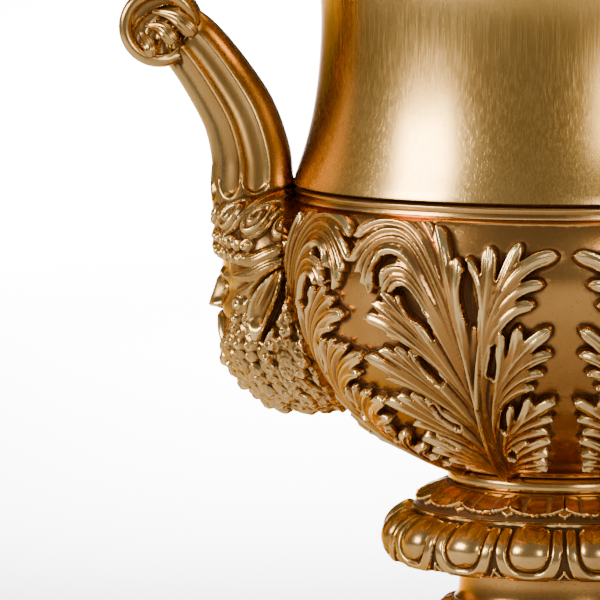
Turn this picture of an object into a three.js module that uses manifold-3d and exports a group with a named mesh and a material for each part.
// Mantel urn of gilt bronze: a campana vase with a waisted bell over a bowl of
// acanthus leaves, an egg-and-tongue collar, a turned foot on a square plinth,
// and two satyr-mask handles. Millimetres, +Z up, origin at the centre of the
// underside. The masks face -X and +X, the front of the urn faces -Y.

import * as THREE from 'three';
import { mergeVertices } from 'three/addons/utils/BufferGeometryUtils.js';
import Module from 'manifold-3d';

const wasm = await Module();
wasm.setup();

// ---------------------------------------------------------------- dimensions

const grooveHeight = 214;     // joint between bowl and bell, above the underside
const wall = 3.5;             // wall of the two cast vessels
const clearance = 0.3;        // gap kept between neighbouring castings
const turns = 36;             // facets around a turned form

const bell = {
  waist: 86,                  // radius at the narrowest
  skirt: 11,                  // how far the bottom spreads beyond the waist
  skirtDrop: 24,              // height over which that spread dies away
  flare: 43,                  // how far the mouth spreads beyond the waist
  flareStart: 43,
  flareEnd: 134,
  footBevel: 1.6,             // drawn in at the joint with the bowl
  lipRadius: 135,
  lipHeight: 8,
  lipRound: 2.5,
};

const bowl = {
  belly: 101.3,               // greatest radius of the plain ground
  bellyDrop: 24.7,            // its depth below the groove
  lowerDepth: 79.8,           // the ellipse below the belly
  upperHeight: 66.5,          // the ellipse above it
  bottom: 99.3,               // depth of the seat on the collar
  floor: 9,                   // thickness of the bottom
  bandRadius: 96.4,           // the fillet under the groove
  bandHeight: 4.3,
  bandEdge: 1.2,              // where its bevel starts, below the groove
  bandBevel: 2.2,
};

const collar = { top: 99.6, bottom: 132.6, eggs: 16, eggSwell: 2.2, tongueSwell: 1.1 };
const foot = { top: 132.9, lobes: 20, lobeSwell: 1.6 };
const plinth = { height: 26, side: 162 };

const handle = {
  // Middle line of the stem: reach from the urn's axis, rise above the groove.
  line: [[107, -16], [110.5, -2], [111, 10], [115, 24], [122.5, 37], [131, 48.5], [138, 55]],
  steps: 8,
  corners: 14,
  baseDepth: 33,
  tipDepth: 23,
  baseWidth: 34,              // across the front, where it leaves the head
  tipWidth: 23,
  fluteDepth: 1.7,
  fluteless: -0.6,            // cosine of the angle where the smooth inner side starts
  scrollRadius: 14.5,
  scrollFacets: 16,
  scrollAcross: 143.5,        // centre of the scroll from the urn's axis
  scrollRise: 56,
};

const mask = {
  halfWidth: 34,
  top: -3,                    // crown of the hair, above the groove
  hairline: -22,
  brow: -32,
  noseBase: -44,
  bottom: -79,                // tip of the beard
  core: 70,                   // inner end of the solid, before it is cut to the bowl
  seat: 93,                   // where the flange meets the bowl
  back: 100,
  depth: 23,
  lockLift: 3,                // thickness of the hair and the beard
  earFront: 115,
  earAcross: 27,
  earBottom: -61,
  earHeight: 27,
  earLean: 9,                 // how far its tip lies back towards the bowl
  spread: 0.975,              // share of the full height that the rows span
  rows: 18,
  columns: 12,
};

const maskMiddle = (mask.top + mask.bottom) / 2;
const maskReach = (mask.top - mask.bottom) / 2;

// ---------------------------------------------------------------- materials

const gilt = (colour, roughness) =>
  new THREE.MeshStandardMaterial({ color: colour, roughness, metalness: 1 });

// ---------------------------------------------------------------- solids

// A closed geometry becomes a manifold solid once only its positions are left.
// A mirrored one comes out inside out, which the sign of its volume tells.
function toSolid(geometry) {
  geometry.deleteAttribute('normal');
  geometry.deleteAttribute('uv');
  const merged = mergeVertices(geometry, 1e-3);
  const mesh = {
    numProp: 3,
    vertProperties: Float32Array.from(merged.attributes.position.array),
    triVerts: Uint32Array.from(merged.index.array),
  };
  const solid = new wasm.Manifold(new wasm.Mesh(mesh));
  if (solid.volume() > 0) return solid;
  mesh.triVerts.reverse();
  return new wasm.Manifold(new wasm.Mesh(mesh));
}

function toGeometry(solid) {
  const { vertProperties, triVerts } = solid.simplify(0.02).getMesh();
  const geometry = new THREE.BufferGeometry();
  geometry.setAttribute('position', new THREE.BufferAttribute(vertProperties, 3));
  geometry.setIndex(new THREE.BufferAttribute(triVerts, 1));
  return geometry;
}

// A profile of [radius, height above the groove] turned about +Z.
function turned(profile, facets = turns) {
  const points = profile.map(([radius, rise]) => new THREE.Vector2(radius, grooveHeight + rise));
  const geometry = new THREE.LatheGeometry(points, facets);
  geometry.rotateX(Math.PI / 2);
  return geometry;
}

// Rings of points, all of one length, skinned in order and capped at both ends.
function skinned(rings) {
  const count = rings[0].length;
  const points = rings.flat();
  const faces = [];
  for (let ring = 0; ring + 1 < rings.length; ring++) {
    for (let i = 0; i < count; i++) {
      const a = ring * count + i;
      const b = ring * count + ((i + 1) % count);
      faces.push(a, b, b + count, a, b + count, a + count);
    }
  }
  const last = (rings.length - 1) * count;
  for (let i = 1; i + 1 < count; i++) {
    faces.push(0, i + 1, i);
    faces.push(last, last + i, last + i + 1);
  }
  const geometry = new THREE.BufferGeometry().setFromPoints(points);
  geometry.setIndex(faces);
  return geometry;
}

const union = (solids) => solids.reduce((whole, solid) => whole.add(solid));

function smooth(from, to, x) {
  const t = THREE.MathUtils.clamp((x - from) / (to - from), 0, 1);
  return t * t * (3 - 2 * t);
}

const bump = (x, centre, spread) => Math.exp(-(((x - centre) / spread) ** 2));

// ---------------------------------------------------------------- bell

function bellRadius(rise) {
  const skirt = bell.skirt * Math.exp(-((rise / bell.skirtDrop) ** 1.2));
  const climb = Math.max(0, (rise - bell.flareStart) / (bell.flareEnd - bell.flareStart));
  return bell.waist + skirt + bell.flare * climb ** 3;
}

function bellProfile() {
  const outside = [[bellRadius(0) - bell.footBevel, clearance / 2]];
  for (const rise of [1, 10, 20, 34, 66, 90, 112, bell.flareEnd]) {
    outside.push([bellRadius(rise), rise]);
  }
  const lipBottom = bell.flareEnd + 0.6;
  const lipMiddle = lipBottom + bell.lipHeight / 2;
  const lip = [
    [bell.lipRadius - bell.lipRound, lipBottom],
    [bell.lipRadius, lipMiddle],
    [bell.lipRadius - bell.lipRound, lipBottom + bell.lipHeight],
    [bell.lipRadius - bell.lipRound - wall, lipBottom + bell.lipHeight],
  ];
  const inside = [];
  for (const rise of [126, 104, 66, 34, 12]) {
    inside.push([bellRadius(rise) - wall, rise]);
  }
  inside.push([bellRadius(0) - bell.footBevel - wall, clearance / 2]);
  return [...outside, ...lip, ...inside, outside[0]];
}

// ---------------------------------------------------------------- bowl

function groundRadius(rise) {
  const above = rise > -bowl.bellyDrop;
  const reach = above ? bowl.upperHeight : bowl.lowerDepth;
  return bowl.belly * Math.sqrt(Math.max(0, 1 - ((rise + bowl.bellyDrop) / reach) ** 2));
}

// Steps up the curve of the plain ground, to turn a climb along it into a rise.
const climbs = [];
for (let rise = -97.8, climb = 0; rise <= -4; rise += 1) {
  climbs.push({ rise, climb });
  climb += Math.hypot(1, groundRadius(rise + 1) - groundRadius(rise));
}

function riseAt(climb) {
  const found = climbs.findIndex((step) => step.climb >= climb);
  const next = found < 0 ? climbs.length - 1 : Math.max(1, found);
  const [low, high] = [climbs[next - 1], climbs[next]];
  const t = (climb - low.climb) / (high.climb - low.climb);
  return low.rise + t * (high.rise - low.rise);
}

// The carving is a net of rows that leave a leaf's rib and climb outwards, so
// that each row is a ridge, a notch or a vein of the lobes. `side` runs from
// -1 to 1 across a leaf, and its plume curls over on the positive side.
const leaf = {
  count: 8,
  columns: [-0.86, -0.57, -0.27, 0, 0.27, 0.57, 0.86, 1],
  lobes: 5,
  rowsPerLobe: 4,
  foot: 4,                    // where the rib starts
  head: 112,                  // and where it ends
  rise: 26,                   // how far a lobe climbs on its way out
  top: 118,                   // highest row of the carving
};
const lastRow = leaf.lobes * leaf.rowsPerLobe;

// Lift of each row of a lobe at the rib, inside, halfway out and at the tip.
const columnPlaces = [0, 0.27, 0.57, 0.86, 1];
const rowLifts = [
  [3.8, 0.8, 0, 0, 0],        // the ground between two lobes
  [4.2, 3.4, 2.2, 0, 0],      // the lower edge
  [5.0, 4.8, 4.8, 1.0, 0],    // the ridge that ends in the tip
  [4.4, 3.8, 3.2, 0, 0],      // the upper edge
];

function rowClimb(row, side) {
  const root = leaf.foot + (leaf.head - leaf.foot) * (row / lastRow) ** 1.15;
  const out = Math.abs(side);
  const open = smooth(-6, 20, root) * (1 - 0.9 * smooth(70, leaf.head, root));
  const plume = side > 0 ? smooth(55, 100, root) : 0;
  const arch = plume * (36 * out * (1 - out) - 9 * out * out);
  return Math.min(leaf.top, root + leaf.rise * open * out ** 0.8 + arch);
}

function rowLift(row, side) {
  return rowLifts[row % leaf.rowsPerLobe][columnPlaces.indexOf(Math.abs(side))];
}

// The carving leaves room for the two heads.
function besideHeads(azimuth, rise) {
  const across = Math.abs(groundRadius(rise) * Math.cos(azimuth));
  const share = (rise - maskMiddle) / (maskReach + 9);
  const half = (mask.halfWidth + 9) * Math.sqrt(Math.max(0, 1 - Math.abs(share) ** 3));
  return smooth(0, 3, across - half);
}

// Every upright line of the net: its azimuth from the front, and where it
// stands in its leaf. Neighbouring leaves mirror each other.
const lines = [];
for (let number = 0; number < leaf.count; number++) {
  const turn = number % 2 === 0 ? 1 : -1;
  for (const column of leaf.columns) {
    const azimuth = ((number + 0.5 + column / 2) * 2 * Math.PI) / leaf.count;
    lines.push({ azimuth, side: turn * column });
  }
}

const atAzimuth = (azimuth, reach, rise) =>
  new THREE.Vector3(reach * Math.sin(azimuth), -reach * Math.cos(azimuth), grooveHeight + rise);

const plainRing = (radius, rise) => lines.map(({ azimuth }) => atAzimuth(azimuth, radius, rise));

function carvedRing(row) {
  return lines.map(({ azimuth, side }) => {
    const rise = riseAt(rowClimb(row, side));
    const lift = rowLift(row, side) * besideHeads(azimuth, rise);
    const slope = groundRadius(rise + 0.5) - groundRadius(rise - 0.5);
    const tilt = Math.hypot(1, slope);
    return atAzimuth(azimuth, groundRadius(rise) + lift / tilt, rise - (lift * slope) / tilt);
  });
}

function bowlSolid() {
  const seatRise = climbs[0].rise;
  const rings = [
    plainRing(groundRadius(seatRise), -bowl.bottom),
    plainRing(groundRadius(seatRise), seatRise),
  ];
  for (let row = 0; row <= lastRow; row++) rings.push(carvedRing(row));
  rings.push(plainRing(groundRadius(riseAt(leaf.top + 2.5)), riseAt(leaf.top + 2.5)));
  rings.push(plainRing(bowl.bandRadius, -bowl.bandHeight));
  rings.push(plainRing(bowl.bandRadius, -bowl.bandEdge));
  rings.push(plainRing(bowl.bandRadius - bowl.bandBevel, -clearance / 2));
  const inside = [[0, -bowl.bottom + bowl.floor]];
  for (const rise of [-89, -82, -68, -50, -30, -14]) inside.push([groundRadius(rise) - wall, rise]);
  inside.push([bowl.bandRadius - bowl.bandBevel - wall, clearance], [0, clearance]);
  return toSolid(skinned(rings)).subtract(toSolid(turned(inside)));
}

// ---------------------------------------------------------------- mask

// Half the width of the head at a height above the groove.
function maskHalfWidth(rise) {
  const share = THREE.MathUtils.clamp((rise - maskMiddle) / maskReach, -1, 1);
  const narrow = share < 0 ? 1 - 0.2 * share * share : 1;
  return mask.halfWidth * narrow * Math.sqrt(1 - Math.abs(share) ** 3.2);
}

// How far the head reaches from the urn's axis: an oval head with brow, eye
// hollows, nose, cheeks and lips in even thirds, rolls of hair above them and
// a curled beard below.
function maskSurface(across, rise) {
  const share = Math.abs(rise - maskMiddle) / maskReach;
  const out = Math.abs(across);
  const side = Math.min(1, out / Math.max(1, maskHalfWidth(rise)));
  const front = mask.back + mask.depth * Math.sqrt(Math.max(0, 1 - share ** 3.6));
  const round = Math.sqrt(Math.max(0, 1 - side ** 2.3));
  const hair = Math.max(smooth(mask.hairline - 2, mask.hairline + 2, rise), smooth(17, 22, out));
  const beard = 1 - smooth(mask.noseBase - 7, mask.noseBase - 3, rise + 0.3 * (6 - out));
  const curls = 1.6 * Math.sin(across * 0.57) * Math.sin(rise * 0.6);
  const nose = 4.8 * bump(across, 0, 4.5) * bump(rise, mask.noseBase + 3, 4);
  const bridge = 3.4 * bump(across, 0, 4) * bump(rise, mask.brow - 4, 6);
  const brow = 2 * bump(rise, mask.brow, 3) * bump(out, 7, 8);
  const eyes = -4.5 * bump(rise, mask.brow - 5, 3.2) * bump(out, 9, 4.5);
  const cheeks = 1.5 * bump(rise, mask.noseBase + 3, 4) * bump(out, 13, 5);
  const moustache = 2.4 * bump(rise, mask.noseBase - 3.5, 2.4) * bump(across, 0, 12);
  const lips = 1.5 * bump(rise, mask.noseBase - 9, 2) * bump(across, 0, 6);
  const face = nose + bridge + brow + eyes + cheeks + moustache + lips;
  const locks = (mask.lockLift + curls) * Math.max(hair, beard);
  return mask.seat + (front - mask.seat + face + locks) * round;
}

function maskSolid(side) {
  const rings = [];
  for (let row = 0; row <= mask.rows; row++) {
    const share = mask.spread * ((2 * row) / mask.rows - 1);
    const rise = maskMiddle + maskReach * share;
    const half = maskHalfWidth(rise);
    const ring = [];
    for (let column = 0; column <= mask.columns; column++) {
      const place = (2 * column) / mask.columns - 1;
      const across = half * place * (0.5 + 0.5 * Math.abs(place));
      const reach = maskSurface(across, rise);
      ring.push(new THREE.Vector3(side * reach, across, grooveHeight + rise));
    }
    ring.push(new THREE.Vector3(side * mask.core, half, grooveHeight + rise));
    ring.push(new THREE.Vector3(side * mask.core, -half, grooveHeight + rise));
    rings.push(ring);
  }
  return toSolid(skinned(rings));
}

// The pointed ear that lies back along the side of the head.
function earSolid(side, flank) {
  const rings = [];
  for (const [share, swell] of [[0, 1.5], [0.3, 5.5], [0.65, 4.4], [1, 0.5]]) {
    const centre = new THREE.Vector3(
      side * (mask.earFront - mask.earLean * share),
      flank * (mask.earAcross + 2 * share),
      grooveHeight + mask.earBottom + mask.earHeight * share,
    );
    const ring = [];
    for (let corner = 0; corner < 6; corner++) {
      const angle = (side * corner * Math.PI) / 3;
      ring.push(centre.clone().add(
        new THREE.Vector3(swell * Math.cos(angle), 0.75 * swell * Math.sin(angle), 0),
      ));
    }
    rings.push(ring);
  }
  return toSolid(skinned(rings));
}

// ---------------------------------------------------------------- handle

// The fluted stem: sections along a curve in the plane of the two handles,
// with a half depth that follows the same points.
function stemSolid(side) {
  const points = handle.line.map(([reach, rise]) => new THREE.Vector3(side * reach, 0, rise));
  const path = new THREE.CatmullRomCurve3(points);
  const rings = [];
  for (let step = 0; step <= handle.steps; step++) {
    const t = step / handle.steps;
    const centre = path.getPoint(t);
    const along = path.getTangent(t);
    const outward = new THREE.Vector3(side * along.z, 0, -side * along.x);
    const depth = THREE.MathUtils.lerp(handle.baseDepth, handle.tipDepth, t) / 2;
    const width = THREE.MathUtils.lerp(handle.baseWidth, handle.tipWidth, t) / 2;
    const ring = [];
    for (let corner = 0; corner < handle.corners; corner++) {
      const angle = (side * 2 * Math.PI * corner) / handle.corners;
      const fluted = Math.cos(angle) > handle.fluteless ? corner % 2 : 0;
      const cut = fluted * handle.fluteDepth;
      const point = centre.clone().addScaledVector(outward, (depth - cut) * Math.cos(angle));
      point.y += (width - cut) * Math.sin(angle);
      point.z += grooveHeight;
      ring.push(point);
    }
    rings.push(ring);
  }
  return toSolid(skinned(rings));
}

// The rolled end of the handle: a round rim with a dished flank on each side.
function scrollSolid(side) {
  const radius = handle.scrollRadius;
  const half = handle.tipWidth / 2;
  const flank = [
    [0, half - 5], [radius - 5.5, half - 3], [radius - 3, half], [radius - 0.8, half - 1.8],
  ];
  const profile = [
    ...flank.map(([out, across]) => [out, -across]), [radius, 0], ...flank.reverse(),
  ];
  const points = profile.map(([x, y]) => new THREE.Vector2(x, y));
  const geometry = new THREE.LatheGeometry(points, handle.scrollFacets);
  geometry.translate(side * handle.scrollAcross, 0, 0);
  const place = geometry.attributes.position;
  for (let i = 0; i < place.count; i++) {
    place.setZ(i, place.getZ(i) + grooveHeight + handle.scrollRise);
  }
  return toSolid(geometry);
}

function handleSolid(side, vessel) {
  const pieces = [maskSolid(side), stemSolid(side), scrollSolid(side)];
  pieces.push(earSolid(side, 1), earSolid(side, -1));
  return union(pieces).subtract(vessel);
}

// The plain outside of the two vessels with room for the seam of the handles.
function vesselSolid() {
  const room = 2 * clearance;
  const profile = [[0, -bowl.bottom]];
  for (let rise = -96; rise < -bowl.bandHeight; rise += 10) {
    profile.push([groundRadius(rise) + room, rise]);
  }
  profile.push([bowl.bandRadius + room, -bowl.bandHeight - 0.5], [bowl.bandRadius + room, 2]);
  for (const rise of [10, 20, 32, 50, 72]) profile.push([bellRadius(rise) + room, rise]);
  profile.push([0, 72]);
  return toSolid(turned(profile, 60));
}

// ---------------------------------------------------------------- collar and foot

// Swells a turned form outwards by an amount that depends on azimuth and rise.
function carved(geometry, swell) {
  const place = geometry.attributes.position;
  for (let i = 0; i < place.count; i++) {
    const [x, y, z] = [place.getX(i), place.getY(i), place.getZ(i)];
    const radius = Math.hypot(x, y);
    if (radius < 1) continue;
    const grown = 1 + swell(Math.atan2(x, -y), z - grooveHeight) / radius;
    place.setXY(i, x * grown, y * grown);
  }
  return geometry;
}

function collarGeometry() {
  const profile = [
    [0, -collar.bottom], [60, -collar.bottom], [63.6, -129.4], [64.3, -124.5],
    [62, -119.5], [57, -116], [52, -113.7], [52.6, -111], [51.5, -109.3],
    [42.5, -104.8], [40.2, -104], [41, -101.8], [40.2, -collar.top], [0, -collar.top],
  ];
  return carved(turned(profile, 4 * collar.eggs), (azimuth, rise) => {
    const wave = -Math.cos(collar.eggs * azimuth);
    const egg = wave > 0.9 ? collar.eggSwell : wave < -0.9 ? 0.6 * collar.eggSwell : -0.4;
    const tongue = wave > 0.9 ? collar.tongueSwell : wave < -0.9 ? -collar.tongueSwell : 0.5;
    const onEggs = smooth(-133, -130, rise) * (1 - smooth(-118, -115, rise));
    const onTongues = smooth(-113, -111, rise) * (1 - smooth(-109, -104.6, rise));
    return egg * onEggs + tongue * onTongues;
  });
}

function footGeometry() {
  const profile = [
    [0, -187.7], [74.5, -187.7], [77, -184.6], [74.5, -181.4], [69.4, -180.4],
    [55, -176.5], [45, -171], [40, -164], [39, -160.6], [43.4, -158.5], [45.4, -153.5],
    [43.4, -148.6], [38, -146.4], [37.4, -foot.top], [0, -foot.top],
  ];
  return carved(turned(profile), (azimuth, rise) => {
    const ring = smooth(-160, -157, rise) * (1 - smooth(-150, -147, rise));
    return foot.lobeSwell * ring * Math.cos(foot.lobes * azimuth);
  });
}

// Turned with four facets, a profile gives a square block with mouldings.
function plinthGeometry() {
  const corner = Math.SQRT1_2 * plinth.side;
  const top = plinth.height - clearance;
  const profile = [
    [0, 0], [corner, 0], [corner, top - 7], [corner - 3, top - 4], [corner - 3.6, top], [0, top],
  ];
  const points = profile.map(([x, y]) => new THREE.Vector2(x, y));
  const geometry = new THREE.LatheGeometry(points, 4, Math.PI / 4);
  geometry.rotateX(Math.PI / 2);
  return geometry;
}

// ---------------------------------------------------------------- the urn

const vessel = vesselSolid();

const pieces = {
  bell: turned(bellProfile()),
  bowl: toGeometry(bowlSolid()),
  collar: collarGeometry(),
  foot: footGeometry(),
  plinth: plinthGeometry(),
  left_handle: toGeometry(handleSolid(-1, vessel)),
  right_handle: toGeometry(handleSolid(1, vessel)),
};

const finishes = {
  bell: gilt(0xb98a3c, 0.3),
  bowl: gilt(0xa9742c, 0.36),
  collar: gilt(0xb07a2f, 0.34),
  foot: gilt(0xae7a30, 0.34),
  plinth: gilt(0xb38338, 0.32),
  left_handle: gilt(0xa8762f, 0.38),
  right_handle: gilt(0xa8762f, 0.38),
};

const urn = new THREE.Group();
for (const [name, geometry] of Object.entries(pieces)) {
  const mesh = new THREE.Mesh(geometry, finishes[name]);
  mesh.name = name;
  urn.add(mesh);
}

export default urn;
